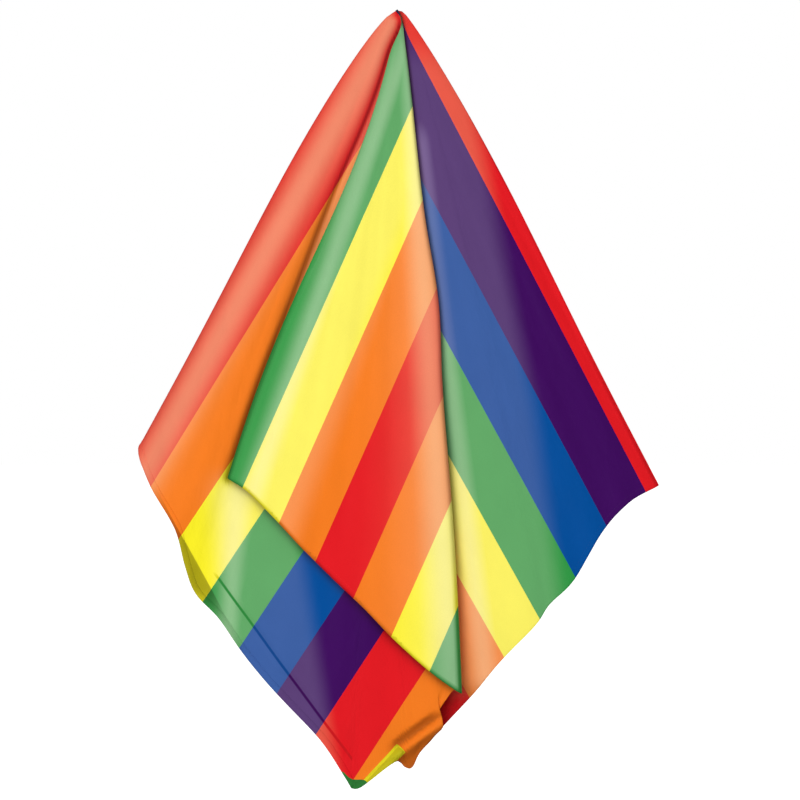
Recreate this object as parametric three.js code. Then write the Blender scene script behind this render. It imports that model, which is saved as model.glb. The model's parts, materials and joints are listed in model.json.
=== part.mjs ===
// A striped printed cloth, cut as a 2:1 rectangle and hung by the middle of one long edge.
// Millimetres, +Z up. The origin is the hanging point; the cloth falls below it and its front
// faces -Y, so the model is as tall as the drop from the hanging point to the lowest corner.
//
// The cloth hangs as a fan of straight-ish rays. Each ray runs from the small gathered pinch at
// the hanging point to a point on the free lower edge. Going round the fan the cloth makes a Z:
// the back layer, a soft roll at the left, the middle layer, a tight fold, and the front flap.

import * as THREE from 'three';

// ---- driving dimensions -------------------------------------------------------------------
const SHELL = 0.6;            // thickness of the cloth shell
const GAP = 0.4;              // air between the cloth and what is sewn to it
const HEM_WIDTH = 6;          // width of a turned hem
const HEM_THICKNESS = 0.8;    // a hem is two more layers of cloth
const THREAD = 0.5;           // width and height of a stitching run
const SHOULDER_PEAK = 0.385;  // highest value of sqrt(v) * (1 - v)
const ROWS = 18;              // rows of facets down a ray, without the hem's own rows
const ROW_CROWDING = 1.35;    // above 1, rows are closer together near the hanging point
const COLUMNS_PER_POINT = 2;  // facet columns between two neighbouring outline points
const HEM_START_ROW = 3;      // side hems start below the pinch
const END_CLEARANCE = 0.06;   // share of a facet left free at the end of a sewn strip

// ---- the free lower edge ------------------------------------------------------------------
// Each stretch lists the rays that end on its outline points: low is the lower end [x, y, z],
// top is the upper end in the pinch [x, y], bulge pushes the ray sideways, most at a third of
// its length, and sway pushes its upper half one way and its lower half the other.
const BACK_RIGHT_EDGE = [
  // the short edge of the back layer, from its free right corner to its hidden lower corner
  { low: [245, 18, -440], top: [4.5, 3], bulge: 8, sway: 2 },
  { low: [214, 9, -453], top: [4.1, 2.8], bulge: 9, sway: 2 },
  { low: [188, 2, -481], top: [3.7, 2.6], bulge: 9, sway: 1 },
  { low: [162, -3, -521], top: [3.3, 2.5], bulge: 8, sway: 0 },
  { low: [140, -4, -546], top: [2.9, 2.5], bulge: 8, sway: 0 },
  { low: [127, -5, -565], top: [2.6, 2.5], bulge: 8, sway: 0 },
  { low: [95, -2, -601], top: [2.2, 2.5], bulge: 7, sway: 0 },
  { low: [64, 5, -636], top: [1.8, 2.6], bulge: 6, sway: 0 },
  { low: [8, 42, -696], top: [1, 2.8], bulge: 2, sway: 0 },
];
const LONG_LOWER_EDGE = [
  // behind: the hidden edge of the back layer rises in pleats to the roll at the left
  { low: [8, 42, -696], top: [1, 2.8], bulge: 2, sway: 0 },
  { low: [-34, 60, -676], top: [0.4, 3], bulge: 1, sway: 0 },
  { low: [-69, 28, -650], top: [-0.2, 3], bulge: -1, sway: 0 },
  { low: [-103, 62, -606], top: [-0.8, 3.2], bulge: -2, sway: 0 },
  { low: [-133, 26, -562], top: [-1.6, 3.2], bulge: -3, sway: 0 },
  { low: [-164, 60, -522], top: [-2.4, 3.2], bulge: -4, sway: 0 },
  { low: [-192, 32, -478], top: [-3.2, 3.1], bulge: -6, sway: 0 },
  { low: [-214, 36, -436], top: [-4.2, 2.8], bulge: -7, sway: -1 },
  { low: [-231, 27, -410], top: [-4.8, 2.2], bulge: -10, sway: -2 },
  { low: [-238, 15, -401], top: [-5.2, 1.4], bulge: -10, sway: -2 },
  { low: [-236, 3, -415], top: [-4.9, 0.6], bulge: -10, sway: -2 },
  // in front: the edge of the middle layer falls to the lowest corner
  { low: [-223, -8, -446], top: [-4.3, 0.2], bulge: -9, sway: -2 },
  { low: [-203, -9, -477], top: [-3.7, 0], bulge: -8, sway: -1 },
  { low: [-194, -6, -510], top: [-3.2, 0], bulge: -7, sway: 0 },
  { low: [-184, -3, -536], top: [-2.7, 0], bulge: -6, sway: 0 },
  { low: [-162, -4, -560], top: [-2.2, 0], bulge: -5, sway: 0 },
  { low: [-138, -9, -596], top: [-1.6, 0], bulge: -4, sway: 0 },
  { low: [-104, -14, -633], top: [-0.9, 0], bulge: -2, sway: 0 },
  { low: [-70, -14, -669], top: [-0.4, 0], bulge: -1, sway: 0 },
  { low: [-49, -11, -701], top: [-0.1, 0], bulge: 0, sway: 0 },
  { low: [-39, -8, -714], top: [0.1, 0], bulge: 1, sway: 0 },
];
const FRONT_LEFT_EDGE = [
  // the other short edge: from the lowest corner up to the tight fold and on along the flap
  { low: [-39, -8, -714], top: [0.1, 0], bulge: 1, sway: 0 },
  { low: [-27, -7, -708.5], top: [0.2, 0], bulge: 3, sway: 0 },
  { low: [-2, -3, -690.5], top: [0.3, 0], bulge: 4, sway: 0 },
  { low: [7, -3, -696.3], top: [0.4, 0], bulge: 5, sway: 0 },
  { low: [15, -4, -696], top: [0.5, 0], bulge: 5, sway: 0 },
  { low: [17, -4, -685], top: [0.6, 0], bulge: 6, sway: 0 },
  { low: [35, -4, -665], top: [0.7, 0], bulge: 7, sway: 0 },
  { low: [52, -7, -640], top: [0.8, -0.3], bulge: 8, sway: -2 },
  { low: [59.5, -12, -627], top: [0.8, -1.2], bulge: 8, sway: -2 },
  { low: [53, -19, -623], top: [0.6, -2.3], bulge: 8, sway: -2 },
  { low: [30, -19, -606], top: [0.4, -2.6], bulge: 8, sway: 0 },
  { low: [-1, -15, -579], top: [0.2, -2.6], bulge: 8, sway: 1 },
  { low: [-28, -14, -551], top: [0, -2.6], bulge: 8, sway: 2 },
  { low: [-56, -16, -524], top: [-0.3, -2.6], bulge: 8, sway: 3 },
  { low: [-84, -19, -496], top: [-0.6, -2.6], bulge: 8, sway: 4 },
  { low: [-110, -22, -468], top: [-0.9, -2.6], bulge: 8, sway: 5 },
  { low: [-135, -19, -443], top: [-1.2, -2.6], bulge: 8, sway: 6 },
  { low: [-155, -12, -430], top: [-1.5, -2.5], bulge: 8, sway: 6 },
];

// ---- the fan of rays ----------------------------------------------------------------------
function smoothCurve(points) {
  return new THREE.CatmullRomCurve3(points, false, 'catmullrom', 0.5);
}

// One stretch of the lower edge as a list of rays, evenly stepped between its outline points.
function raysAlong(stretch) {
  const low = smoothCurve(stretch.map((p) => new THREE.Vector3(...p.low)));
  const top = smoothCurve(stretch.map((p) => new THREE.Vector3(p.top[0], p.top[1], 0)));
  const push = smoothCurve(stretch.map((p) => new THREE.Vector3(p.bulge, p.sway, 0)));
  const steps = (stretch.length - 1) * COLUMNS_PER_POINT;
  const rays = [];
  for (let i = 0; i <= steps; i += 1) {
    const t = i / steps;
    rays.push({ low: low.getPoint(t), top: top.getPoint(t), push: push.getPoint(t) });
  }
  return rays;
}

// A point on a ray: v is 0 at the pinch and 1 at the free edge.
function onRay(ray, v) {
  const point = new THREE.Vector3().lerpVectors(ray.top, ray.low, v);
  point.x += ray.push.x * Math.sqrt(v) * (1 - v) / SHOULDER_PEAK;
  point.x += ray.push.y * Math.sin(2 * Math.PI * v);
  return point;
}

// The rows down one ray; the last two are the inner line of the hem and the free edge.
function rowsDown(ray) {
  const hemLine = 1 - HEM_WIDTH / ray.top.distanceTo(ray.low);
  const points = [];
  for (let i = 0; i <= ROWS; i += 1) {
    points.push(onRay(ray, hemLine * (i / ROWS) ** ROW_CROWDING));
  }
  points.push(onRay(ray, 1));
  return points;
}

// A column of points one hem width in from a free side, narrower where the fan is narrower.
function hemColumn(edge, next) {
  return edge.map((point, i) => {
    const width = point.distanceTo(next[i]);
    return new THREE.Vector3().lerpVectors(point, next[i], Math.min(0.5, HEM_WIDTH / width));
  });
}

const stretches = [BACK_RIGHT_EDGE, LONG_LOWER_EDGE, FRONT_LEFT_EDGE].map(raysAlong);
const columns = [];
const corners = [0];
stretches.forEach((rays, index) => {
  const fresh = index === 0 ? rays : rays.slice(1);
  fresh.forEach((ray) => columns.push(rowsDown(ray)));
  corners.push(columns.length - 1);
});
columns.splice(1, 0, hemColumn(columns[0], columns[1]));
columns.splice(columns.length - 1, 0, hemColumn(columns.at(-1), columns.at(-2)));
corners[1] += 1;
corners[2] += 1;
corners[3] += 2;
const LAST_COLUMN = columns.length - 1;
const HEM_ROW = ROWS;
const EDGE_ROW = ROWS + 1;

// The unit normal of the middle surface at a grid point, on the side that the back layer shows
// to the front.
function normalAt(c, r) {
  const before = columns[Math.max(c - 1, 0)][r];
  const after = columns[Math.min(c + 1, LAST_COLUMN)][r];
  const above = columns[c][Math.max(r - 1, 0)];
  const below = columns[c][Math.min(r + 1, EDGE_ROW)];
  const across = new THREE.Vector3().subVectors(after, before);
  const down = new THREE.Vector3().subVectors(below, above);
  return across.cross(down).normalize();
}

function lifted(c, r, height) {
  return columns[c][r].clone().addScaledVector(normalAt(c, r), height);
}

// A point between grid points, by shares of a facet, lifted off the middle surface.
function between(c, r, height) {
  const c0 = Math.min(Math.floor(c), LAST_COLUMN - 1);
  const r0 = Math.min(Math.floor(r), EDGE_ROW - 1);
  const near = lifted(c0, r0, height).lerp(lifted(c0, r0 + 1, height), r - r0);
  const far = lifted(c0 + 1, r0, height).lerp(lifted(c0 + 1, r0 + 1, height), r - r0);
  return near.lerp(far, c - c0);
}

// ---- closed solids ------------------------------------------------------------------------
// A thin solid between a sheet of points and its copy: sheet(i, j, side) gives both sides.
function slab(sizeI, sizeJ, sheet) {
  const positions = [];
  const index = [];
  const id = (i, j, side) => (i * sizeJ + j) * 2 + side;
  for (let i = 0; i < sizeI; i += 1) {
    for (let j = 0; j < sizeJ; j += 1) {
      positions.push(...sheet(i, j, 0).toArray(), ...sheet(i, j, 1).toArray());
    }
  }
  const quad = (a, b, c, d) => index.push(a, b, c, a, c, d);
  for (let i = 0; i < sizeI - 1; i += 1) {
    for (let j = 0; j < sizeJ - 1; j += 1) {
      quad(id(i, j, 1), id(i + 1, j, 1), id(i + 1, j + 1, 1), id(i, j + 1, 1));
      quad(id(i, j, 0), id(i, j + 1, 0), id(i + 1, j + 1, 0), id(i + 1, j, 0));
    }
  }
  for (let i = 0; i < sizeI - 1; i += 1) {
    const end = sizeJ - 1;
    quad(id(i, 0, 0), id(i + 1, 0, 0), id(i + 1, 0, 1), id(i, 0, 1));
    quad(id(i, end, 0), id(i, end, 1), id(i + 1, end, 1), id(i + 1, end, 0));
  }
  for (let j = 0; j < sizeJ - 1; j += 1) {
    const end = sizeI - 1;
    quad(id(0, j, 0), id(0, j, 1), id(0, j + 1, 1), id(0, j + 1, 0));
    quad(id(end, j, 0), id(end, j + 1, 0), id(end, j + 1, 1), id(end, j, 1));
  }
  const geometry = new THREE.BufferGeometry();
  geometry.setAttribute('position', new THREE.Float32BufferAttribute(positions, 3));
  geometry.setIndex(index);
  return geometry;
}

function clothPanel() {
  const half = SHELL / 2;
  return slab(columns.length, EDGE_ROW + 1, (c, r, side) => lifted(c, r, side ? half : -half));
}

// Stops of a strip that runs from one grid line to another and ends just short of both.
function stops(from, to) {
  const list = [from + END_CLEARANCE];
  for (let k = from + 1; k < to; k += 1) {
    list.push(k);
  }
  list.push(to - END_CLEARANCE);
  return list;
}

// A sewn strip along the lower edge between two rows, at heights near and far off the cloth.
function lowerStrip(from, to, rows, near, far) {
  const along = stops(from, to);
  return slab(along.length, 2, (i, j, side) => between(along[i], rows[j], side ? near : far));
}

// A sewn strip down a free side between two columns, at heights near and far off the cloth.
function sideStrip(across, near, far) {
  const down = stops(HEM_START_ROW, HEM_ROW);
  return slab(2, down.length, (i, j, side) => between(across[i], down[j], side ? near : far));
}

// Hems are turned to the side that faces away from the back layer's front.
const HEM_NEAR = -(SHELL / 2 + GAP);
const HEM_FAR = HEM_NEAR - HEM_THICKNESS;
const lowerHem = (from, to) => lowerStrip(from, to, [HEM_ROW, EDGE_ROW], HEM_NEAR, HEM_FAR);
const sideHem = (column) => sideStrip([column, column + 1], HEM_NEAR, HEM_FAR);

// Stitching runs lie along the middle of the hems, on the cloth's other side.
const RUN_NEAR = SHELL / 2 + GAP;
const RUN_FAR = RUN_NEAR + THREAD;
const RUN_SHARE = THREAD / HEM_WIDTH / 2;
const RUN_LINE = [0.5 - RUN_SHARE, 0.5 + RUN_SHARE];
const lowerRun = (from, to) => lowerStrip(from, to, RUN_LINE.map((s) => HEM_ROW + s), RUN_FAR, RUN_NEAR);
const sideRun = (column) => sideStrip(RUN_LINE.map((s) => column + s), RUN_FAR, RUN_NEAR);

// ---- materials and parts ------------------------------------------------------------------
const CLOTH_COLOUR = '#f27a20';
const HEM_COLOUR = '#e11b22';
const THREAD_COLOUR = '#f4efe6';

function part(name, geometry, colour, roughness) {
  const material = new THREE.MeshStandardMaterial({ color: colour, roughness, metalness: 0 });
  const mesh = new THREE.Mesh(geometry, material);
  mesh.name = name;
  return mesh;
}

const hems = {
  top_hem_right: sideHem(0),
  short_hem_right: lowerHem(corners[0], corners[1]),
  long_hem_bottom: lowerHem(corners[1], corners[2]),
  short_hem_left: lowerHem(corners[2], corners[3]),
  top_hem_left: sideHem(LAST_COLUMN - 1),
};
const runs = {
  top_stitching_right: sideRun(0),
  short_stitching_right: lowerRun(corners[0], corners[1]),
  long_stitching_bottom: lowerRun(corners[1], corners[2]),
  short_stitching_left: lowerRun(corners[2], corners[3]),
  top_stitching_left: sideRun(LAST_COLUMN - 1),
};

const cloth = new THREE.Group();
cloth.add(part('cloth_panel', clothPanel(), CLOTH_COLOUR, 0.6));
Object.entries(hems).forEach(([name, geometry]) => cloth.add(part(name, geometry, HEM_COLOUR, 0.65)));
Object.entries(runs).forEach(([name, geometry]) => cloth.add(part(name, geometry, THREAD_COLOUR, 0.5)));

export default cloth;
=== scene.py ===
"""A thin striped cloth, hung by the middle of one long edge. Metres, +Z up, the front faces -Y."""
import json
import math

import bmesh
import bpy
import numpy as np
from mathutils.bvhtree import BVHTree
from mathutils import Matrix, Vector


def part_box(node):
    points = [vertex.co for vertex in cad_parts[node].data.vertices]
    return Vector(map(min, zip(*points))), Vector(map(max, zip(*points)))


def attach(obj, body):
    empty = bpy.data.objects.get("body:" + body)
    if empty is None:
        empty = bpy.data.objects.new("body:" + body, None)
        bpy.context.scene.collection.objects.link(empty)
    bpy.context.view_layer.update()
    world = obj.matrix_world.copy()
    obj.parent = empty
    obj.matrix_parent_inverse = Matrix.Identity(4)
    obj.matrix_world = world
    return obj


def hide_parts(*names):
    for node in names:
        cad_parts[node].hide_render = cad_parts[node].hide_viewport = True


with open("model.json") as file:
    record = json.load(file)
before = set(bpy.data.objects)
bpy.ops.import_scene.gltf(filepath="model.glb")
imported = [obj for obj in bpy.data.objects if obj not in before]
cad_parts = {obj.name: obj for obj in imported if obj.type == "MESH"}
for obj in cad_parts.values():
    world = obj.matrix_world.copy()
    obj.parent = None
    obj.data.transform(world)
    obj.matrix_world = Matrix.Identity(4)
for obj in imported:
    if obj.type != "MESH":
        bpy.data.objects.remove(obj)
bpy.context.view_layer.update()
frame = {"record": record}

panel_low, panel_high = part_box("cloth_panel")

# ---- driving sizes: the flat cloth in metres, all other lengths in the design's millimetres ----
DESIGN_DROP = 714.2
MM = (panel_high[2] - panel_low[2]) / DESIGN_DROP
HANGING_POINT = np.array(frame["record"]["mounts"][0]["pos_m"])
CLOTH_LONG = 1.0
CLOTH_SHORT = 0.5
CLOTH_THICKNESS = 0.35
COLUMNS_PER_POINT = 6
ROWS = 176
ROW_CROWDING = 0.3             # rows lie this share closer together at the free edge
PINCH_SLOPE_LEFT = 0.7         # how steeply the gathers fall away beside the hanging point
PINCH_SLOPE_RIGHT = 0.2
SHOULDER_PEAK = 0.385          # highest value of sqrt(v) * (1 - v)
HEM_WIDTH = 6.0
HEM_STEP = 3.0
HEM_START = 45.0               # the upper hems start this far below the pinch
HEM_FULL_DROP = 180.0          # and reach their full width at this depth
STITCH_PITCH = 3.1
STITCH_LENGTH = 2.4
STITCH_WIDTH = 0.24
STITCH_INSET = 4.9
THREAD_FRONT = 0.16            # the threads lie this far out from the middle of the cloth
THREAD_BACK = -0.8
WEAVE_PITCH = 0.0007           # metres of flat cloth from one thread to the next
WEAVE_HEIGHT = 0.0001
WEAVE_STRENGTH = 0.35
RUMPLE_HEIGHT = 0.004
RUMPLE_STRENGTH = 0.25

# ---- the rays of the hung cloth ----------------------------------------------------------------
# Each row ends one ray of the fan on the free lower edge: its lower end x, y, z, its upper end
# x, y in the pinch, how far it bulges to the right near the top, and how far it sways.
BACK_RIGHT_EDGE = [
    (242.5, 18, -437.5, 4.5, 3.0, 8, 2),
    (214, 9, -453, 4.1, 2.8, 9, 2),
    (188, 2, -481, 3.7, 2.6, 9, 1),
    (163, -3, -523, 3.3, 2.5, 8, 0),
    (140, -4, -546, 2.9, 2.5, 8, 0),
    (127, -5, -565, 2.6, 2.5, 8, 0),
    (94, -2, -599.5, 2.2, 2.5, 7, 0),
    (64, 5, -636, 1.8, 2.6, 6, 0),
    (7, 42, -700, 1.0, 2.8, 2, 0),
]
LONG_LOWER_EDGE = [
    (7, 42, -700, 1.0, 2.8, 2, 0),
    (-34, 60, -676, 0.4, 3.0, 1, 0),
    (-69, 28, -650, -0.2, 3.0, -1, 0),
    (-103, 62, -606, -0.8, 3.2, -2, 0),
    (-133, 26, -562, -1.6, 3.2, -3, 0),
    (-164, 60, -522, -2.4, 3.2, -4, 0),
    (-192, 32, -478, -3.2, 3.1, -6, 0),
    (-214, 36, -436, -4.2, 2.8, -7, -1),
    (-231, 27, -410, -4.8, 2.2, -10, -2),
    (-238, 15, -401, -5.2, 1.4, -10, -2),
    (-236, 3, -415, -4.9, 0.6, -10, -2),
    (-222.5, -8, -443.5, -4.3, 0.2, -9, -2),
    (-203, -9, -477, -3.7, 0.0, -8, -1),
    (-194, -6, -510, -3.2, 0.0, -7, 0),
    (-184, -3, -536, -2.7, 0.0, -6, 0),
    (-162, -4, -560, -2.2, 0.0, -5, 0),
    (-138, -9, -594.5, -1.6, 0.0, -4, 0),
    (-104, -14, -633, -0.9, 0.0, -2, 0),
    (-70, -14, -669, -0.4, 0.0, -1, 0),
    (-48.2, -11, -702.5, -0.1, 0.0, 0, 0),
    (-41.5, -10, -713.5, 0.1, 0.0, 1, 0),
]
FRONT_LEFT_EDGE = [
    (-41.5, -10, -713.5, 0.1, 0.0, 1, 0),
    (-32, -8.6, -712, 0.2, 0.0, 3, 0),
    (-2, -4, -690.5, 0.3, 0.0, 4, 0),
    (7, -3, -696.3, 0.4, 0.0, 5, 0),
    (15, -4, -696, 0.5, 0.0, 5, 0),
    (29.5, -4, -675, 0.6, 0.0, 6, 0),
    (37.5, -5, -658, 0.7, 0.0, 7, 0),
    (39.5, -5, -647, 0.7, -0.1, 7, -1),
    (51, -7, -625, 0.8, -0.3, 8, -2),
    (59.5, -12, -627, 0.8, -1.2, 8, -2),
    (53, -19, -623, 0.6, -2.3, 8, -2),
    (30, -19, -606, 0.4, -2.6, 8, 0),
    (-1, -15, -579, 0.2, -2.6, 8, 1),
    (-28, -14, -551, 0.0, -2.6, 8, 2),
    (-56, -16, -524, -0.3, -2.6, 8, 3),
    (-84, -19, -496, -0.6, -2.6, 8, 4),
    (-110, -22, -468, -0.9, -2.6, 8, 5),
    (-135, -19, -443, -1.2, -2.6, 8, 6),
    (-155, -12, -430, -1.5, -2.5, 8, 6),
]
# Stations count these points round the fan. The corners, folds and print seams lie at:
RIGHT_CORNER = 0
BACK_CORNER = 8
BACK_SEAM = 8.5
ROLL = 17
LOW_CORNER = 28
TAIL_HOLLOW = 32.6
TAIL_LOBE = 34
TAIL_NOTCH = 35
FOLD_SEAM = 36.6
FOLD = 37
FLAP_CORNER = 46
FOLD_CREST = FOLD - 0.33       # the line that stands furthest right
TURNED_FROM = LOW_CORNER - 4   # the cloth beside the lowest corner that can turn over
TURNED_TO = LOW_CORNER + 3.6
TAIL_FROM = LOW_CORNER + 0.8
BACK_LAYER, ROLL_BACK, MIDDLE_LAYER, FLAP = range(4)

# ---- places on the middle layer, in millimetres from the hanging point -------------------------
SIDE_FACET_RIGHT = -140        # the turned lower left side lies left of this
TAIL_TOP = 674.5               # how far down the tail's pleat and the turned sliver start
TIP_LEVEL = -706.0             # the flat stretch of the curve that the lowest corner turns on
TIP_FLAT_LEFT = -38.6
TIP_FLAT_RIGHT = -31.0
TIP_LEFT_END = -50.5
PINCH_TURN = 60                # ripples don't fan out any wider above this depth
RIPPLE_TURNS = 30              # ripples round the fan, for each unit of slope
METRES = 0.001                 # the weave's map is in metres


def smooth(points, t):
    """A Catmull-Rom curve through points, at each parameter t from 0 to len(points) - 1."""
    points = np.asarray(points, float)
    padded = np.vstack([2 * points[0] - points[1], points, 2 * points[-1] - points[-2]])
    first = np.clip(t.astype(int), 0, len(points) - 2)
    f = (t - first)[:, None]
    a, b, c, d = (padded[first + k] for k in range(4))
    return 0.5 * (2 * b + (c - a) * f + (2 * a - 5 * b + 4 * c - d) * f**2 + (3 * b - a - 3 * c + d) * f**3)


def ease(low, high, value):
    """0 below low, 1 above high, and a smooth rise between; low may be above high."""
    f = np.clip((value - low) / (high - low), 0, 1)
    return f * f * (3 - 2 * f)


def hump(value, width):
    return np.exp(-((value / width) ** 2))


def unit(vectors):
    return vectors / np.maximum(np.linalg.norm(vectors, axis=-1, keepdims=True), 1e-9)


# ---- the draped shape --------------------------------------------------------------------------
def fan():
    """Every column's station and its seven ray numbers, round the whole lower edge."""
    stations = []
    rays = []
    start = 0
    for stretch in (BACK_RIGHT_EDGE, LONG_LOWER_EDGE, FRONT_LEFT_EDGE):
        spans = len(stretch) - 1
        t = np.linspace(0, spans, spans * COLUMNS_PER_POINT + 1)
        keep = slice(1 if start else 0, None)
        stations.append(start + t[keep])
        rays.append(smooth(stretch, t)[keep])
        start += spans
    return np.concatenate(stations), np.vstack(rays)


def layer_of(station):
    layer = np.full(station.shape, BACK_LAYER)
    layer[station > BACK_SEAM] = ROLL_BACK
    layer[station > ROLL] = MIDDLE_LAYER
    layer[station > FOLD] = FLAP
    return layer


def beside_low_corner(station):
    return (station > TURNED_FROM) & (station < TURNED_TO)


def crease_distance(x, z):
    """How far right of the crease that the back layer's lower edge presses into the middle one."""
    return (x + 553 + 0.745 * z) / 1.247


def side_facet_distance(x, z):
    """How far left of the line along which the left lower edge turns towards the front."""
    return (-(x + 197.6) + (-481.6 - z) * 0.539) / 1.136


def tip_facet_distance(x, z):
    """How far into the sliver beside the lowest corner that turns over and shows its back."""
    below = (-(z + TAIL_TOP) + 1.033 * x) / 1.438
    left_of_tail = -(0.66 * x + 0.75 * (z + TAIL_TOP))
    above_tail = (z + 682.0 - 0.93 * (x - 8.1)) / 1.37
    return np.minimum(below, 4 * np.minimum(left_of_tail, above_tail))


def tip_distance(x, z):
    """How far below the curve under which the lowest corner itself is turned over."""
    left = np.maximum(TIP_FLAT_LEFT - x, 0)
    right = np.maximum(x - TIP_FLAT_RIGHT, 0)
    return np.minimum(TIP_LEVEL + 0.074 * left**2 - 0.17 * right**2 - z, x - TIP_LEFT_END)


def tail_distance(x, z):
    """How far right and down from the bottom of the pleat beside the tail."""
    return 0.6 * x - 0.8 * (z + TAIL_TOP)


def in_tail(x, z, station):
    """1 on the tail and its pleat, fading out up the cloth."""
    here = (station > TAIL_FROM) & (station < FOLD) & (layer_of(station) == MIDDLE_LAYER)
    return here * ease(-640, -652, z) * ease(-8, 0, x)


def add_ripples(x, y, z, v):
    """Shallow ripples that fan out from the pinch, and a wave along the free edge."""
    lower = ease(0.1, 0.7, v)
    turn = RIPPLE_TURNS * x / np.maximum(-z, PINCH_TURN)
    y += lower * (0.6 * np.sin(1.9 * turn + 2.2 * v) + 0.2 * np.sin(4.3 * turn - 5.0 * v + 1.3))
    y += 1.0 * ease(0.88, 1.0, v) * np.sin(2.6 * turn + 0.7)


def add_creases(x, y, z, station):
    """The pressed crease, the turned left side and the turned lowest corner."""
    middle = layer_of(station) == MIDDLE_LAYER
    groove = hump(crease_distance(x, z), 2.4) * ease(-515, -540, z)
    y += np.where(middle & (station < LOW_CORNER), 1.2 * groove, 0)
    left = np.clip(side_facet_distance(x, z), 0, 30) * ease(-476, -486, z)
    y -= np.where(middle & (x < SIDE_FACET_RIGHT), 0.55 * left, 0)
    sliver = np.clip(np.maximum(tip_facet_distance(x, z), tip_distance(x, z)), 0, 9)
    y -= np.where(middle & beside_low_corner(station), 0.5 * sliver, 0)


def add_tail(x, y, z, station, v):
    """The tail's pleat, and the ragged edge below it that laps over itself."""
    over = tail_distance(x, z)
    pleat = 4 * ease(-7, 1, over) - 4 * ease(1, 8, over) + 7 * ease(8, 20, over)
    y += in_tail(x, z, station) * pleat
    ragged = 5 * hump(station - TAIL_LOBE, 0.45) - 3 * hump(station - TAIL_NOTCH, 0.5)
    ragged = ragged - 3.5 * hump(station - TAIL_HOLLOW, 0.4)
    x += ragged * ease(0.965, 1.0, v)
    lapped = hump(station - TAIL_NOTCH, 0.6) - hump(station - TAIL_LOBE, 0.6)
    y += 1.5 * lapped * ease(0.965, 0.985, v)


def shape_fold_and_flap(x, z, station):
    """The tight fold bulges to the right part of the way down, and the flap starts narrow."""
    x += 5.2 * hump(z + 268, 60) * hump(station - FOLD, 2.5)
    share = np.clip((station - FOLD) / (FLAP_CORNER - FOLD), 0, 1)
    x += 5.5 * hump(z + 14, 16) * ease(0, -8, z) * share


def fine_folds(points, station, v):
    """Small folds, added to the points in place."""
    x, y, z = points[..., 0], points[..., 1], points[..., 2]
    add_ripples(x, y, z, v)
    add_creases(x, y, z, station)
    add_tail(x, y, z, station, v)
    shape_fold_and_flap(x, z, station)


def drape():
    """The cloth as a grid of points, with the station and share down the ray of each."""
    station, rays = fan()
    v = np.linspace(0, 1, ROWS)[None, :]
    v = v * (1 + ROW_CROWDING * (1 - v))
    low = rays[:, 0:3, None]
    x = rays[:, 3, None] * (1 - v) + low[:, 0] * v
    y = rays[:, 4, None] * (1 - v) + low[:, 1] * v
    top = rays[:, 3, None]
    below_pinch = np.where(top < 0, -PINCH_SLOPE_LEFT * top, PINCH_SLOPE_RIGHT * top)
    z = low[:, 2] * v - below_pinch * (1 - v) ** 12
    x = x + rays[:, 5, None] * np.sqrt(v) * (1 - v) / SHOULDER_PEAK
    x = x + rays[:, 6, None] * np.sin(2 * math.pi * v)
    station = np.broadcast_to(station[:, None], x.shape)
    v = np.broadcast_to(v, x.shape)
    points = np.stack([x, y, z], axis=-1)
    fine_folds(points, station, v)
    return points, station, v


def grid_normals(points):
    across = np.gradient(points, axis=0)
    down = np.gradient(points, axis=1)
    return unit(np.cross(across, down))


def column_at(points, station, at):
    """The x and z of every point down one column."""
    column = points[np.argmin(np.abs(station[:, 0] - at))]
    return column[:, 0], column[:, 2]


def outline_distance(x, z, line_x, line_z):
    """The shortest distance, seen from the front, from each point to a line of points."""
    best = np.full(x.shape, np.inf)
    for i in range(len(line_x) - 1):
        along = np.array([line_x[i + 1] - line_x[i], line_z[i + 1] - line_z[i]])
        length = max(float(along @ along), 1e-9)
        share = np.clip(((x - line_x[i]) * along[0] + (z - line_z[i]) * along[1]) / length, 0, 1)
        gap_x = x - line_x[i] - share * along[0]
        gap_z = z - line_z[i] - share * along[1]
        best = np.minimum(best, np.hypot(gap_x, gap_z))
    return best


# ---- the print, with its painted highlights and painted shade ----------------------------------
# Stripes are counted in stripe widths. The whole part of the count picks the colour: red, orange,
# yellow, green, blue, purple, and round again. Each line is x = first + second * z.
RIGHT_RED_PURPLE = (-2.5, -0.5244)
RIGHT_YELLOW_ORANGE = (-239.6, -0.567)
LEFT_RED_ORANGE = (42.9, 0.614)
LEFT_ORANGE_YELLOW = (123.3, 0.667)
LEFT_NEXT_RED_ORANGE = (422.9, 0.656)
FLAP_RED_MIDDLE = 174.7
FLAP_SLOPE = 0.444
FLAP_STRIPE_LEFT = 48.4
FLAP_STRIPE_RIGHT = 49.6


def line_x(line, z):
    return line[0] + line[1] * z


def back_stripes(x, z):
    """Counted down from the red stripe at the right edge."""
    first = line_x(RIGHT_RED_PURPLE, z) + 3.5 * hump(z, 16)
    fifth = line_x(RIGHT_YELLOW_ORANGE, z)
    return -4 * (first - x) / (first - fifth)


def middle_stripes(x, z):
    """Counted up from the red stripe at the roll."""
    red = line_x(LEFT_RED_ORANGE, z)
    orange = line_x(LEFT_ORANGE_YELLOW, z)
    next_red = line_x(LEFT_NEXT_RED_ORANGE, z)
    near = 1 + (x - red) / (orange - red)
    far = 2 + 5 * (x - orange) / (next_red - orange)
    return np.where(x < orange, near, far)


def flap_stripes(x, z):
    """Mirrored about the middle of one red stripe."""
    side = x - FLAP_SLOPE * z - FLAP_RED_MIDDLE
    return 0.5 + np.abs(side) / np.where(side < 0, FLAP_STRIPE_LEFT, FLAP_STRIPE_RIGHT)


def valley_offset(drop):
    """How far left of the flap's free edge the valley beside it lies."""
    return 1.3 + 7 * hump(drop - 165, 85)


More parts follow.
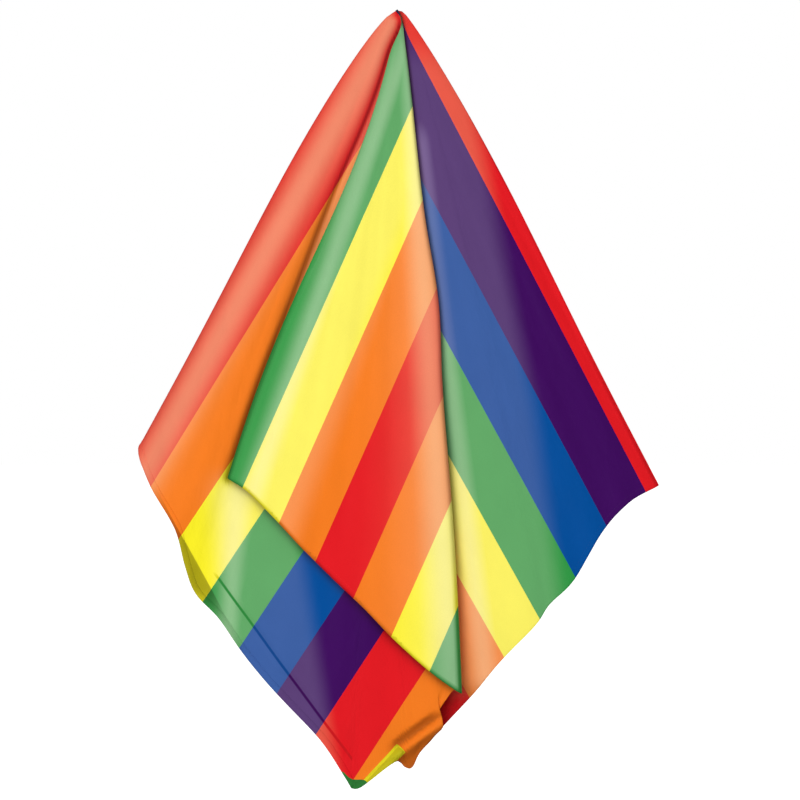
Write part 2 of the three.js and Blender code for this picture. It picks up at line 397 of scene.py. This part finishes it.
def back_painted_highlight(x, z):
    """Painted highlight: a band beside the tight fold, and a flatter one that ends along a line to its
    right.
    """
    drop = -z
    beside_fold = hump(x - 9 + 0.118 * z, 7 + 0.013 * drop)
    right_edge = np.minimum(52 - 0.2 * z, 73.6 - 0.14 * z)
    right_flat = ease(right_edge + 12, right_edge - 12, x) * (0.15 + 0.25 * ease(20, 60, drop))
    return np.maximum(beside_fold * ease(85, 125, drop), right_flat) * ease(638, 618, drop)


def middle_painted_highlight(x, z, from_edge):
    """Painted highlight on the roll's crown, a ridge and a flat shelf lower down, and the lip beside the
    valley.
    """
    drop = -z
    roll_centre = 2.2 + 0.552 * z
    roll = hump(x - roll_centre, np.where(x < roll_centre, 17, 19))
    ridge = hump(x + 121.8 - 0.056 * z, np.clip(18 - 0.08 * (drop - 450), 11, 18))
    ridge = ridge * ease(415, 445, drop)
    shelf_edge = -167.5 - 0.16 * z
    shelf = 0.4 * ease(-172, -152, x) * ease(shelf_edge + 10, shelf_edge - 10, x)
    shelf = shelf * ease(430, 450, drop)
    offset = valley_offset(drop)
    lip = 0.45 * ease(offset - 1, offset - 3.5, from_edge) * ease(290, 250, drop)
    crowns = np.maximum(roll, np.maximum(ridge, shelf)) * (1 - hump(from_edge - offset, 4))
    return np.maximum(crowns, lip)


def front_painted_highlight(x, z, from_edge, from_fold, from_hem):
    """Painted highlight in bands inside the flap's free edge and inside the fold, with the plain print left
    at the rims all round.
    """
    drop = -z
    edge_centre = 20.3 + 0.344 * z
    left_width = 14 - 5 * ease(150, 240, drop) + 0.007 * drop
    edge = hump(x - edge_centre, np.where(x < edge_centre, left_width, 8 + 0.018 * drop))
    flat = 0.4 * ease(95 + 0.36 * z, 65 + 0.36 * z, x)
    flat = flat * (1 - 0.8 * ease(200, 280, drop) * ease(edge_centre - 4, edge_centre - 14, x))
    fold_centre = 8 - 0.07 * z
    fold = hump(x - fold_centre, np.where(x < fold_centre, 11 + 0.02 * drop, 16))
    beside = 0.3 * hump(x - fold_centre, 20 + 0.045 * drop)
    front = np.maximum(np.maximum(edge, flat), np.maximum(fold, beside))
    rim = 1 - ease(170, 230, drop) * ease(5, 0, from_edge)
    rim = rim * (1 - ease(480, 560, drop) * ease(4, 0, from_fold))
    return front * rim * ease(0, 4, from_hem)


def middle_shade(x, z, station, from_edge, from_hem):
    """Painted shade in the valley beside the flap, on the cloth under its lower edge, and in the tail's
    pleat.
    """
    drop = -z
    offset = valley_offset(drop)
    valley = 0.72 * hump(from_edge - offset, 2.0 + 1.3 * ease(160, 200, drop))
    beyond = 0.28 * ease(offset + 12, offset, from_edge) * ease(offset - 2, offset, from_edge)
    valley = np.maximum(valley, beyond * ease(330, 260, drop))
    over = tail_distance(x, z)
    tail = 0.5 * ease(-6, -3, over) * ease(5, 2, over) + 0.5 * ease(8.5, 11.5, over)
    middle = np.maximum(valley * ease(5, 20, drop), 0.5 * hump(from_hem, 5.0))
    return np.maximum(middle, tail * in_tail(x, z, station))


def front_shade(z, from_edge, from_fold, from_hem):
    """Painted shade: thin dark lines round the flap, and darkening in the gathers at its top."""
    drop = -z
    edge = (0.1 + 0.45 * ease(230, 330, drop)) * hump(from_edge, 2.6)
    front = np.maximum(edge, 0.35 * hump(from_fold, 2.2))
    front = np.maximum(front, 0.4 * hump(from_hem, 1.8))
    return np.maximum(front, 0.85 * ease(20, 12, drop))


class PrintAndPaintedLight:
    """Stripe counts, painted highlight and painted shade at any point of the draped cloth, from its x, z
    and station.
    """

    def __init__(self, points, station):
        self.roll_x, self.roll_z = column_at(points, station, ROLL)
        self.fold_x, self.fold_z = column_at(points, station, FOLD_CREST)
        self.flap_x, self.flap_z = column_at(points, station, FLAP_CORNER)
        flap_edge = points[station[:, 0] >= FOLD_CREST, -1]
        self.hem_x, self.hem_z = flap_edge[:, 0], flap_edge[:, 2]

    def roll_at(self, z):
        """The roll's x at each height, carried on in a straight line below its end."""
        reach = np.interp(-z, -self.roll_z, self.roll_x)
        slope = (self.roll_x[-1] - self.roll_x[-40]) / (self.roll_z[-1] - self.roll_z[-40])
        return np.where(z < self.roll_z[-1], self.roll_x[-1] + slope * (z - self.roll_z[-1]), reach)

    def counts(self, x, z, station):
        """The count in each of the three printed fields."""
        roll = self.roll_at(z)
        behind = station < ROLL
        unrolled = np.where(behind, 2 * roll - x, x)
        return back_stripes(x, z), middle_stripes(unrolled, z), flap_stripes(x, z)

    def face_counts(self, points, station, faces):
        """The count at every face's corners, all from the field that the face lies in."""
        fields = np.stack(self.counts(points[:, 0], points[:, 2], station))
        middle = station[faces].mean(axis=1)
        field = (middle > BACK_SEAM).astype(int) + (middle > FOLD_SEAM)
        corners = fields[:, faces]
        return np.take_along_axis(corners, field[None, :, None], axis=0)[0]

    def outlines(self, x, z):
        """The distances from the flap's free edge, the tight fold and the flap's lower edge."""
        from_edge = outline_distance(x, z, self.flap_x, self.flap_z)
        from_fold = outline_distance(x, z, self.fold_x, self.fold_z)
        from_hem = outline_distance(x, z, self.hem_x, self.hem_z)
        return from_edge, from_fold, from_hem

    def painted_highlight(self, x, z, station):
        """Painted highlight on the fold ridges: broad pale bands, from 0 to 1."""
        from_edge, from_fold, from_hem = self.outlines(x, z)
        back = back_painted_highlight(x, z)
        # painted highlight on the back of the roll
        behind = 0.7 * hump(station - 10.7, 0.8) + 0.6 * hump(station - 15.2, 0.7)
        middle = middle_painted_highlight(x, z, from_edge)
        front = front_painted_highlight(x, z, from_edge, from_fold, from_hem)
        return np.choose(layer_of(station), [back, behind, middle, front])

    def shade(self, x, z, station):
        """Painted shade in the creases and valleys, beside the fold and under the edges, from 0 to 1."""
        from_edge, from_fold, from_hem = self.outlines(x, z)
        # painted shade beside the tight fold, and along the back layer's lower edge
        back = np.maximum(0.45 * hump(from_fold, 2.4), 0.42 * ease(610, 640, -z))
        middle = middle_shade(x, z, station, from_edge, from_hem)
        front = front_shade(z, from_edge, from_fold, from_hem)
        return np.choose(layer_of(station), [back, 0 * x, middle, front])

    def turned(self, x, z, station):
        """Distances into the crease and the turned facets, far away on other layers."""
        middle = layer_of(station) == MIDDLE_LAYER
        far = -60.0
        low_left = middle & (station < LOW_CORNER)
        corner = middle & beside_low_corner(station)
        return {
            "crease": np.where(low_left, crease_distance(x, z), far),
            "side_facet": np.where(middle & (x < SIDE_FACET_RIGHT), side_facet_distance(x, z), far),
            "sliver": np.where(corner, tip_facet_distance(x, z), far),
            "tip": np.where(corner, tip_distance(x, z), far),
        }


# ---- meshes ------------------------------------------------------------------------------------
def put_attribute(mesh, name, domain, values):
    layer = mesh.attributes.new(name, "FLOAT", domain)
    layer.data.foreach_set("value", np.ascontiguousarray(values, dtype=np.float32).ravel())


def new_piece(name, points, faces, station, uv, print_and_light):
    """A smooth quad mesh with the print's attributes and its painted highlight and painted shade. Points
    are in the design's millimetres.
    """
    metres = points * MM + HANGING_POINT
    mesh = bpy.data.meshes.new(name)
    mesh.from_pydata(metres.tolist(), [], faces.tolist())
    mesh.update()
    mesh.polygons.foreach_set("use_smooth", np.ones(len(faces), dtype=bool))
    x, z = points[:, 0], points[:, 2]
    put_attribute(mesh, "stripe", "CORNER", print_and_light.face_counts(points, station, faces))
    put_attribute(mesh, "painted_highlight", "POINT", print_and_light.painted_highlight(x, z, station))
    put_attribute(mesh, "shade", "POINT", print_and_light.shade(x, z, station))
    for attribute, values in print_and_light.turned(x, z, station).items():
        put_attribute(mesh, attribute, "POINT", values)
    put_attribute(mesh, "drop", "POINT", -z)
    layer = mesh.uv_layers.new(name="weave")
    layer.data.foreach_set("uv", uv[faces].astype(np.float32).ravel())
    piece = bpy.data.objects.new(name, mesh)
    bpy.context.scene.collection.objects.link(piece)
    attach(piece, "root")
    return piece


def flat_places(station, v):
    """Where each point lies on the flat cloth, in metres from the hanging point."""
    corners = [RIGHT_CORNER, BACK_CORNER, LOW_CORNER, FLAP_CORNER]
    half = CLOTH_LONG / 2
    across = np.interp(station, corners, [-half, -half, half, half])
    down = np.interp(station, corners, [0, CLOTH_SHORT, CLOTH_SHORT, 0])
    return np.stack([across * v, down * v], axis=-1)


def grid_faces(columns, rows):
    c, r = np.meshgrid(np.arange(columns - 1), np.arange(rows - 1), indexing="ij")
    first = (c * rows + r).ravel()
    return np.stack([first, first + rows, first + rows + 1, first + 1], axis=1)


def make_cloth(points, station, v, print_and_light):
    faces = grid_faces(*station.shape)
    uv = flat_places(station, v).reshape(-1, 2)
    piece = new_piece("striped_cloth", points.reshape(-1, 3), faces, station.ravel(), uv, print_and_light)
    thick = piece.modifiers.new("thickness", "SOLIDIFY")
    thick.thickness = CLOTH_THICKNESS * MM
    thick.offset = 0
    return piece


class Run:
    """One edge of the cloth at even steps: points, unit vectors inwards, out and along, stations."""

    def __init__(self, points, inner, normals, station, step):
        length = np.concatenate([[0], np.cumsum(np.linalg.norm(np.diff(points, axis=0), axis=1))])
        self.at = np.linspace(0.8, length[-1] - 0.8, max(3, int(length[-1] / step)))
        self.points = self.even(length, points)
        self.along = unit(np.gradient(self.points, axis=0))
        self.out = unit(self.even(length, normals))
        inwards = self.even(length, inner) - self.points
        inwards -= self.along * (inwards * self.along).sum(axis=1, keepdims=True)
        self.inwards = unit(inwards)
        self.station = np.interp(self.at, length, station)

    def even(self, length, values):
        return np.stack([np.interp(self.at, length, values[:, k]) for k in range(3)], axis=1)


def edge_runs(points, station, step):
    """The five hemmed edges, by the name that each has in the frame."""
    normals = grid_normals(points)
    outline_station = station[:, 0]
    first_row = int(np.argmax(-points[0, :, 2] > HEM_START))
    runs = {}

    def lower(name, start, end):
        pick = (outline_station >= start) & (outline_station <= end)
        inner = points[pick, -3]
        runs[name] = Run(points[pick, -1], inner, normals[pick, -1], outline_station[pick], step)

    def upper(name, column, inner_column):
        down = slice(first_row, None)
        edge = points[column, down]
        inner = points[inner_column, down]
        runs[name] = Run(edge, inner, normals[column, down], station[column, down], step)

    upper("right", 0, 2)
    lower("short_right", RIGHT_CORNER, BACK_CORNER)
    lower("long", BACK_CORNER, LOW_CORNER)
    lower("short_left", LOW_CORNER, FLAP_CORNER)
    upper("left", -1, -3)
    return runs


HEM_PROFILE = [                # inwards from the edge, and out from the back of the cloth
    (0.1, -0.25),
    (-0.25, 0.05),
    (-0.25, 0.4),
    (0.2, 0.65),
    (2.0, 0.7),
    (HEM_WIDTH - 0.5, 0.62),
    (HEM_WIDTH, 0.45),
    (HEM_WIDTH, 0.2),
]


def hem_fullness(run):
    """Hems are narrower where the gathers leave no room, and in the tight bends of the tail."""
    full = np.clip(-run.points[:, 2] / HEM_FULL_DROP, 0.25, 1)
    return full * (1 - 0.95 * hump(run.station - TAIL_LOBE, 3.2))


def on_cloth(surface, places, outwards):
    """The nearest places on the cloth and its normals there, on the side that outwards points to."""
    found = [surface.find_nearest(tuple(place)) for place in places]
    spots = np.array([hit[0] for hit in found])
    normals = np.array([hit[1] for hit in found])
    side = np.sign((normals * outwards).sum(axis=1, keepdims=True))
    return spots, normals * np.where(side == 0, 1, side)


def make_hem(name, run, print_and_light, surface):
    """The edge turned over to the back, slightly puckered by its stitches."""
    rings = []
    pucker = 1 + 0.12 * np.sin(run.at * 0.9) + 0.08 * np.sin(run.at * 0.37 + 1)
    fullness = hem_fullness(run)
    for inwards, back in HEM_PROFILE:
        depth = (back * pucker * fullness)[:, None]
        width = (inwards * fullness)[:, None]
        spots, out = on_cloth(surface, run.points + run.inwards * np.maximum(width, 0), run.out)
        rings.append(spots + run.inwards * np.minimum(width, 0) - out * depth)
    count, sides = len(run.at), len(HEM_PROFILE)
    points = np.stack(rings, axis=1).reshape(-1, 3)
    r, s = np.meshgrid(np.arange(count - 1), np.arange(sides), indexing="ij")
    a = (r * sides + s).ravel()
    b = (r * sides + (s + 1) % sides).ravel()
    faces = np.stack([a, b, b + sides, a + sides], axis=1)
    station = np.repeat(run.station, sides)
    width = np.tile([p[0] for p in HEM_PROFILE], count) * METRES
    uv = np.stack([np.repeat(run.at, sides) * METRES, width], axis=-1)
    piece = new_piece(name, points, faces, station, uv, print_and_light)
    close_ends(piece, sides, count)
    return piece


def close_ends(piece, sides, count):
    """Put a cap on each end of a tube of rings."""
    shell = bmesh.new()
    shell.from_mesh(piece.data)
    shell.verts.ensure_lookup_table()
    last = (count - 1) * sides
    shell.faces.new([shell.verts[k] for k in range(sides - 1, -1, -1)])
    shell.faces.new([shell.verts[last + k] for k in range(sides)])
    bmesh.ops.recalc_face_normals(shell, faces=shell.faces)
    shell.to_mesh(piece.data)
    shell.free()


def stitch_shape():
    """One stitch lying along x: three rings between two points, with its quads."""
    rings = [(-0.36, 0.75), (0.0, 1.0), (0.36, 0.75)]
    sides = 6
    points = [(-0.5, 0, 0)]
    for share, swell in rings:
        for k in range(sides):
            turn = 2 * math.pi * k / sides
            points.append((share, 0.5 * swell * math.cos(turn), 0.5 * swell * math.sin(turn)))
    points.append((0.5, 0, 0))
    quads = []
    for ring in range(len(rings) - 1):
        for k in range(sides):
            a = 1 + ring * sides + k
            b = 1 + ring * sides + (k + 1) % sides
            quads.append((a, a + sides, b + sides, b))
    last = 1 + (len(rings) - 1) * sides
    tip = len(points) - 1
    for k in range(0, sides, 2):
        quads.append((0, 1 + k, 1 + (k + 1) % sides, 1 + (k + 2) % sides))
        quads.append((tip, last + (k + 2) % sides, last + (k + 1) % sides, last + k))
    return np.array(points), np.array(quads)


def make_stitches(name, run, print_and_light, surface):
    """A row of separate stitches on each side of the hem."""
    shape, quads = stitch_shape()
    all_points = []
    all_faces = []
    all_stations = []
    fullness = hem_fullness(run)[:, None]
    spots, normals = on_cloth(surface, run.points + run.inwards * STITCH_INSET * fullness, run.out)
    for lift in (THREAD_FRONT, THREAD_BACK):
        centres = spots + normals * np.where(lift < 0, lift * fullness, lift)
        for centre, *ways, station in zip(centres, run.along, run.inwards, normals, run.station):
            along, inwards, out = ways
            local = shape[:, 0:1] * STITCH_LENGTH * along
            local = local + shape[:, 1:2] * STITCH_WIDTH * inwards
            local = local + shape[:, 2:3] * STITCH_WIDTH * out
            all_faces.append(quads + len(all_points) * len(shape))
            all_points.append(centre + local)
            all_stations.append(np.full(len(shape), station))
    points = np.vstack(all_points)
    uv = points[:, [0, 2]] * METRES
    faces = np.vstack(all_faces)
    return new_piece(name, points, faces, np.concatenate(all_stations), uv, print_and_light)


# ---- materials ---------------------------------------------------------------------------------
def linear(colour):
    """A displayed colour, 0 to 255, as the linear colour that a shader takes."""
    shares = [c / 255 for c in colour]
    return tuple(s / 12.92 if s <= 0.04045 else ((s + 0.055) / 1.055) ** 2.4 for s in shares) + (1.0,)


STRIPE_COLOURS = [
    (227, 26, 34),
    (244, 124, 32),
    (250, 238, 38),
    (48, 150, 68),
    (0, 77, 152),
    (62, 9, 92),
]
# painted highlight: the pale colour each stripe takes on the lit fold ridges
HIGHLIGHT_COLOURS = [
    (238, 138, 106),
    (246, 174, 122),
    (250, 241, 148),
    (141, 189, 138),
    (96, 116, 172),
    (122, 100, 148),
]
# painted shade: the dark colour that creases, valleys and turned facets are darkened towards
PAINTED_SHADE_COLOUR = (40, 10, 6)
HIGHLIGHT_STRENGTH = 0.95
# how much painted shade the crease, the turned sliver, the turned lowest corner and the turned left side
# get
CREASE_PAINTED_SHADE = 0.24
SLIVER_PAINTED_SHADE = 0.45
TIP_PAINTED_SHADE = 0.4
FACET_PAINTED_SHADE = 0.1               # the turned left side, all the way down
FACET_UPPER_PAINTED_SHADE = 0.45            # and this much more in its upper part
SPECULAR = 0.03
SHEEN = 0.01
DYE_UNEVEN = 0.10
THREADS_UNEVEN = 0.08
ROUGHNESS_SPREAD = 0.14
THREAD_WHITE = (0.9, 0.9, 0.88, 1.0)


class Nodes:
    """A short way to write a node material."""

    def __init__(self, name):
        self.material = bpy.data.materials.new(name)
        self.material.use_nodes = True
        self.tree = self.material.node_tree
        self.shader = self.tree.nodes["Principled BSDF"]

    def add(self, kind, **settings):
        node = self.tree.nodes.new(kind)
        for key, value in settings.items():
            setattr(node, key, value)
        return node

    def put(self, socket, value):
        """Link a socket to another one, or give it a plain value."""
        if isinstance(value, bpy.types.NodeSocket):
            self.tree.links.new(value, socket)
        else:
            socket.default_value = value

    def maths(self, operation, first, second=0.0, third=0.0):
        node = self.add("ShaderNodeMath", operation=operation)
        for socket, value in zip(node.inputs, (first, second, third)):
            self.put(socket, value)
        return node.outputs[0]

    def attribute(self, name):
        return self.add("ShaderNodeAttribute", attribute_name=name).outputs["Fac"]

    def rise(self, value, low, high):
        """0 at low and below, 1 at high and above, with a smooth rise between."""
        node = self.add("ShaderNodeMapRange", interpolation_type="SMOOTHSTEP")
        node.inputs["From Min"].default_value = low
        node.inputs["From Max"].default_value = high
        self.put(node.inputs["Value"], value)
        return node.outputs["Result"]

    def mix(self, share, first, second, blend="MIX"):
        node = self.add("ShaderNodeMix", data_type="RGBA", blend_type=blend)
        self.put(node.inputs["Factor"], share)
        self.put(node.inputs[6], first)
        self.put(node.inputs[7], second)
        return node.outputs[2]

    def noise(self, vector, scale, detail=3.0):
        node = self.add("ShaderNodeTexNoise")
        self.put(node.inputs["Vector"], vector)
        node.inputs["Scale"].default_value = scale
        node.inputs["Detail"].default_value = detail
        return node.outputs["Fac"]

    def bump(self, height, strength, distance, normal=None):
        node = self.add("ShaderNodeBump")
        node.inputs["Strength"].default_value = strength
        node.inputs["Distance"].default_value = distance
        self.put(node.inputs["Height"], height)
        if normal is not None:
            self.put(node.inputs["Normal"], normal)
        return node.outputs["Normal"]


def stripe_ramp(nodes, share, colours):
    """Hard-edged bands of equal width, one for each colour."""
    ramp = nodes.add("ShaderNodeValToRGB")
    ramp.color_ramp.interpolation = "CONSTANT"
    elements = ramp.color_ramp.elements
    while len(elements) < len(colours):
        elements.new(0.5)
    for i, colour in enumerate(colours):
        elements[i].position = i / len(colours)
        elements[i].color = linear(colour)
    nodes.put(ramp.inputs["Fac"], share)
    return ramp.outputs["Color"]


def stripe_share(nodes, turned, tip):
    """Which stripe, as a share of all six; the turned-over corner shows yellow, then green."""
    main = nodes.attribute("stripe")
    other = nodes.maths("ADD", 2.5, tip)
    change = nodes.maths("MULTIPLY", turned, nodes.maths("SUBTRACT", other, main))
    count = nodes.maths("ADD", main, change)
    return nodes.maths("FRACT", nodes.maths("DIVIDE", count, float(len(STRIPE_COLOURS))))


def crease_line(nodes):
    """1 on the pressed crease, from its upper end down."""
    crease = nodes.maths("ABSOLUTE", nodes.attribute("crease"))
    line = nodes.maths("SUBTRACT", 1.0, nodes.rise(crease, 0.6, 1.8))
    return nodes.maths("MULTIPLY", line, nodes.rise(nodes.attribute("drop"), 515.0, 522.0))


def facet_shade(nodes):
    """Painted shade on the turned left side, deepest in its upper part."""
    facet = nodes.rise(nodes.attribute("side_facet"), -0.4, 0.6)
    drop = nodes.attribute("drop")
    upper = nodes.rise(drop, 560.0, 528.0)
    depth = nodes.maths("MULTIPLY_ADD", upper, FACET_UPPER_PAINTED_SHADE, FACET_PAINTED_SHADE)
    depth = nodes.maths("MULTIPLY", depth, nodes.rise(drop, 425.0, 490.0))
    return nodes.maths("MULTIPLY", facet, depth)


def print_with_painted_light(nodes):
    """The stripes, with painted highlights on the ridges and painted shade in the creases."""
    tip = nodes.maths("GREATER_THAN", nodes.attribute("tip"), 0.0)
    sliver = nodes.maths("GREATER_THAN", nodes.attribute("sliver"), 0.0)
    turned = nodes.maths("MAXIMUM", tip, sliver)
    share = stripe_share(nodes, turned, tip)
    plain_print = stripe_ramp(nodes, share, STRIPE_COLOURS)
    highlit = stripe_ramp(nodes, share, HIGHLIGHT_COLOURS)
    line = nodes.maths("MAXIMUM", crease_line(nodes), turned)
    # painted highlight, kept off the crease and the turned facets
    painted_highlight = nodes.maths("MULTIPLY", nodes.attribute("painted_highlight"), nodes.maths("SUBTRACT", 1.0, line))
    colour = nodes.mix(nodes.maths("MULTIPLY", painted_highlight, HIGHLIGHT_STRENGTH), plain_print, highlit)
    outer = nodes.maths("MULTIPLY", sliver, nodes.rise(nodes.attribute("sliver"), 1.5, 3.0))
    # painted shade from the creases, valleys, edges and turned facets, darkening towards the shade colour
    dark = nodes.maths("MAXIMUM", nodes.attribute("shade"), facet_shade(nodes))
    for place, darkness in ((line, CREASE_PAINTED_SHADE), (outer, SLIVER_PAINTED_SHADE), (tip, TIP_PAINTED_SHADE)):
        dark = nodes.maths("MAXIMUM", dark, nodes.maths("MULTIPLY", place, darkness))
    return nodes.mix(dark, colour, linear(PAINTED_SHADE_COLOUR))


def weave_height(nodes):
    """A plain weave: warp and weft pass over each other in turn, with slightly uneven threads."""
    flat = nodes.add("ShaderNodeUVMap", uv_map="weave").outputs["UV"]
    split = nodes.add("ShaderNodeSeparateXYZ")
    nodes.put(split.inputs[0], flat)
    turns = math.pi / WEAVE_PITCH
    warp = nodes.maths("SINE", nodes.maths("MULTIPLY", split.outputs["X"], turns))
    weft = nodes.maths("SINE", nodes.maths("MULTIPLY", split.outputs["Y"], turns))
    return nodes.maths("MULTIPLY", warp, weft), flat


def cloth_material(name, roughness, weave_strength, lighten=0.0):
    nodes = Nodes(name)
    colour = print_with_painted_light(nodes)
    height, flat = weave_height(nodes)
    dye = nodes.noise(flat, 26.0, 4.0)
    threads = nodes.noise(flat, 900.0, 1.0)
    patches = nodes.maths("MULTIPLY", dye, DYE_UNEVEN)
    streaks = nodes.maths("MULTIPLY", threads, THREADS_UNEVEN)
    bright = nodes.maths("ADD", nodes.maths("ADD", patches, streaks), 0.90)
    grey = nodes.add("ShaderNodeCombineColor")
    for socket in grey.inputs[0:3]:
        nodes.put(socket, bright)
    colour = nodes.mix(1.0, colour, grey.outputs[0], "MULTIPLY")
    if lighten:
        colour = nodes.mix(lighten, colour, THREAD_WHITE)
    shader = nodes.shader
    nodes.put(shader.inputs["Base Color"], colour)
    rough = nodes.maths("MULTIPLY_ADD", dye, ROUGHNESS_SPREAD, roughness - ROUGHNESS_SPREAD / 2)
    nodes.put(shader.inputs["Roughness"], rough)
    shader.inputs["Specular IOR Level"].default_value = SPECULAR
    shader.inputs["Sheen Weight"].default_value = SHEEN
    shader.inputs["Sheen Roughness"].default_value = 0.3
    rumpled = nodes.bump(nodes.noise(flat, 34.0, 2.0), RUMPLE_STRENGTH, RUMPLE_HEIGHT)
    woven = nodes.bump(height, weave_strength, WEAVE_HEIGHT, rumpled)
    nodes.put(shader.inputs["Normal"], woven)
    return nodes.material


# ---- the studio --------------------------------------------------------------------------------
VIEW_WIDTH = 735.3
VIEW_CENTRE = (2.8, -358.5)
LENS = 120
SENSOR = 36
AMBIENT = 0.35
FLOOR_SIZE = 40
FLOOR_GAP = 0.2                # metres from the lowest corner down to the floor


def make_camera():
    camera = bpy.data.objects.new("camera", bpy.data.cameras.new("camera"))
    camera.data.lens = LENS
    camera.data.sensor_width = SENSOR
    camera.data.clip_end = 100
    distance = VIEW_WIDTH * LENS / SENSOR
    place = np.array([VIEW_CENTRE[0], -distance, VIEW_CENTRE[1]])
    camera.location = place * MM + HANGING_POINT
    camera.rotation_euler = (math.radians(90), 0, 0)
    bpy.context.scene.collection.objects.link(camera)
    bpy.context.scene.camera = camera


def area_light(name, place, size, watts):
    """A round soft light, turned to the middle of the cloth. Its place is from that middle."""
    light = bpy.data.lights.new(name, "AREA")
    light.shape = "DISK"
    light.size = size
    light.energy = watts
    lamp = bpy.data.objects.new(name, light)
    middle = (panel_low[2] + panel_high[2]) / 2
    lamp.location = (place[0], place[1], place[2] + middle)
    lamp.rotation_euler = Vector([-p for p in place]).to_track_quat("-Z", "Y").to_euler()
    bpy.context.scene.collection.objects.link(lamp)


def make_world(ambient):
    """White behind the cloth, and a dim even light all round it."""
    world = bpy.data.worlds.new("studio")
    world.use_nodes = True
    tree = world.node_tree
    background = tree.nodes["Background"]
    background.inputs["Color"].default_value = (1, 1, 1, 1)
    seen = tree.nodes.new("ShaderNodeLightPath")
    strength = tree.nodes.new("ShaderNodeMapRange")
    strength.inputs["To Min"].default_value = ambient
    strength.inputs["To Max"].default_value = 1.0
    tree.links.new(seen.outputs["Is Camera Ray"], strength.inputs["Value"])
    tree.links.new(strength.outputs["Result"], background.inputs["Strength"])
    bpy.context.scene.world = world


def make_floor():
    """A plain pale floor below the hanging cloth, bright enough to meet the white behind it."""
    bpy.ops.mesh.primitive_plane_add(size=FLOOR_SIZE, location=(0, 0, panel_low[2] - FLOOR_GAP))
    floor = bpy.context.object
    floor.name = "floor"
    floor.visible_diffuse = False
    floor.visible_glossy = False
    nodes = Nodes("pale_floor")
    speckle = nodes.noise(nodes.add("ShaderNodeTexCoord").outputs["Object"], 3.0)
    tint = nodes.mix(speckle, (0.92, 0.92, 0.92, 1), (0.96, 0.96, 0.96, 1))
    nodes.put(nodes.shader.inputs["Base Color"], tint)
    nodes.shader.inputs["Roughness"].default_value = 0.9
    nodes.shader.inputs["Emission Color"].default_value = (1, 1, 1, 1)
    nodes.shader.inputs["Emission Strength"].default_value = 0.9
    floor.data.materials.append(nodes.material)


def make_studio():
    make_camera()
    make_world(AMBIENT)
    make_floor()
    area_light("key", (-0.85, -2.65, 0.5), 2.0, 57)
    area_light("fill", (1.9, -2.3, -0.4), 1.8, 17)
    bpy.context.scene.view_settings.view_transform = "Standard"


RUN_NODES = {                  # the hem and the stitching of each run, by their names in the frame
    "right": ("top_hem_right", "top_stitching_right"),
    "short_right": ("short_hem_right", "short_stitching_right"),
    "long": ("long_hem_bottom", "long_stitching_bottom"),
    "short_left": ("short_hem_left", "short_stitching_left"),
    "left": ("top_hem_left", "top_stitching_left"),
}


def finish_piece(piece, paint, node):
    piece.data.materials.append(paint)
    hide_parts(node)


def make_trim(points, station, print_and_light):
    """Every hem and row of stitches, sewn to the cloth's edges."""
    hem_paint = cloth_material("hem_cloth", 0.5, WEAVE_STRENGTH)
    thread_paint = cloth_material("clear_thread", 0.4, 0.0, lighten=0.02)
    faces = grid_faces(*station.shape)
    surface = BVHTree.FromPolygons(points.reshape(-1, 3).tolist(), faces.tolist())
    trim = []
    hem_runs = edge_runs(points, station, HEM_STEP)
    stitch_runs = edge_runs(points, station, STITCH_PITCH)
    for run, (hem_node, stitch_node) in RUN_NODES.items():
        hem = make_hem("turned_" + hem_node, hem_runs[run], print_and_light, surface)
        finish_piece(hem, hem_paint, hem_node)
        stitches = make_stitches("sewn_" + stitch_node, stitch_runs[run], print_and_light, surface)
        finish_piece(stitches, thread_paint, stitch_node)
        trim += [hem, stitches]
    return trim


def make_hanging_cloth():
    points, station, v = drape()
    print_and_light = PrintAndPaintedLight(points, station)
    cloth = make_cloth(points, station, v, print_and_light)
    paint = cloth_material("printed_cloth", 0.44, WEAVE_STRENGTH)
    finish_piece(cloth, paint, "cloth_panel")
    trim = make_trim(points, station, print_and_light)


make_studio()
make_hanging_cloth()
